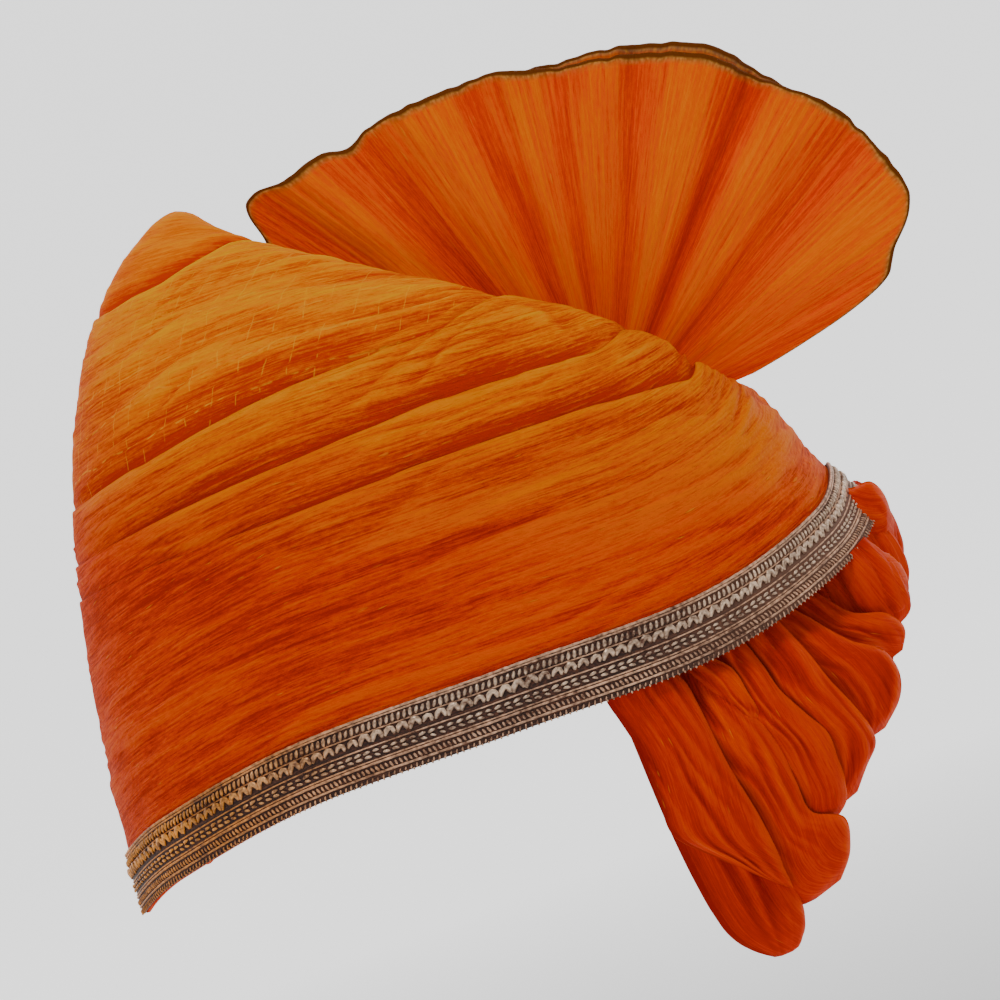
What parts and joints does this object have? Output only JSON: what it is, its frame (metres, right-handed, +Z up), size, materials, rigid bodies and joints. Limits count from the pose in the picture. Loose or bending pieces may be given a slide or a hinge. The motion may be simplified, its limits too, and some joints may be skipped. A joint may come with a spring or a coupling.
{
  "type": "tied turban",
  "caption": "Tied turban of wound cloth wraps over an oval rim, with a lace border band, a standing pleated fan and a gathered tail that hangs at the nape.",
  "frame": {"origin": "Middle of the rim's oval, level with the rim beside the head, where a head fills the hollow from below.", "axes": "+Z up as worn, the brow faces -Y, the wearer's left side is +X and the nape is +Y."},
  "size_m": [0.21, 0.2901, 0.2715],
  "materials": {
    "lower_cloth": "soft cotton and silk cloth, dull sheen",
    "roll_cloth": "soft cotton and silk cloth, dull sheen",
    "middle_cloth": "soft cotton and silk cloth, dull sheen",
    "upper_cloth": "soft cotton and silk cloth, dull sheen",
    "peak_cloth": "soft cotton and silk cloth, dull sheen",
    "metallic_lace": "woven lace with metallic thread",
    "inner_cloth": "soft cotton and silk cloth, matt",
    "crown_cloth": "soft cotton and silk cloth, matt",
    "fan_cloth": "crisp pleated cotton and silk cloth",
    "fan_back_cloth": "crisp pleated cotton and silk cloth",
    "tail_cloth": "gathered satin cloth, soft sheen"
  },
  "bodies": {
    "root": {"wrap_lower": "lower_cloth", "wrap_roll": "roll_cloth", "wrap_middle": "middle_cloth", "wrap_upper": "upper_cloth", "wrap_peak": "peak_cloth", "lace_band": "metallic_lace", "inner_turns": "inner_cloth", "crown_top": "crown_cloth", "fan_front": "fan_cloth", "fan_back": "fan_back_cloth", "gathered_tail": "tail_cloth"}
  },
  "joints": []
}
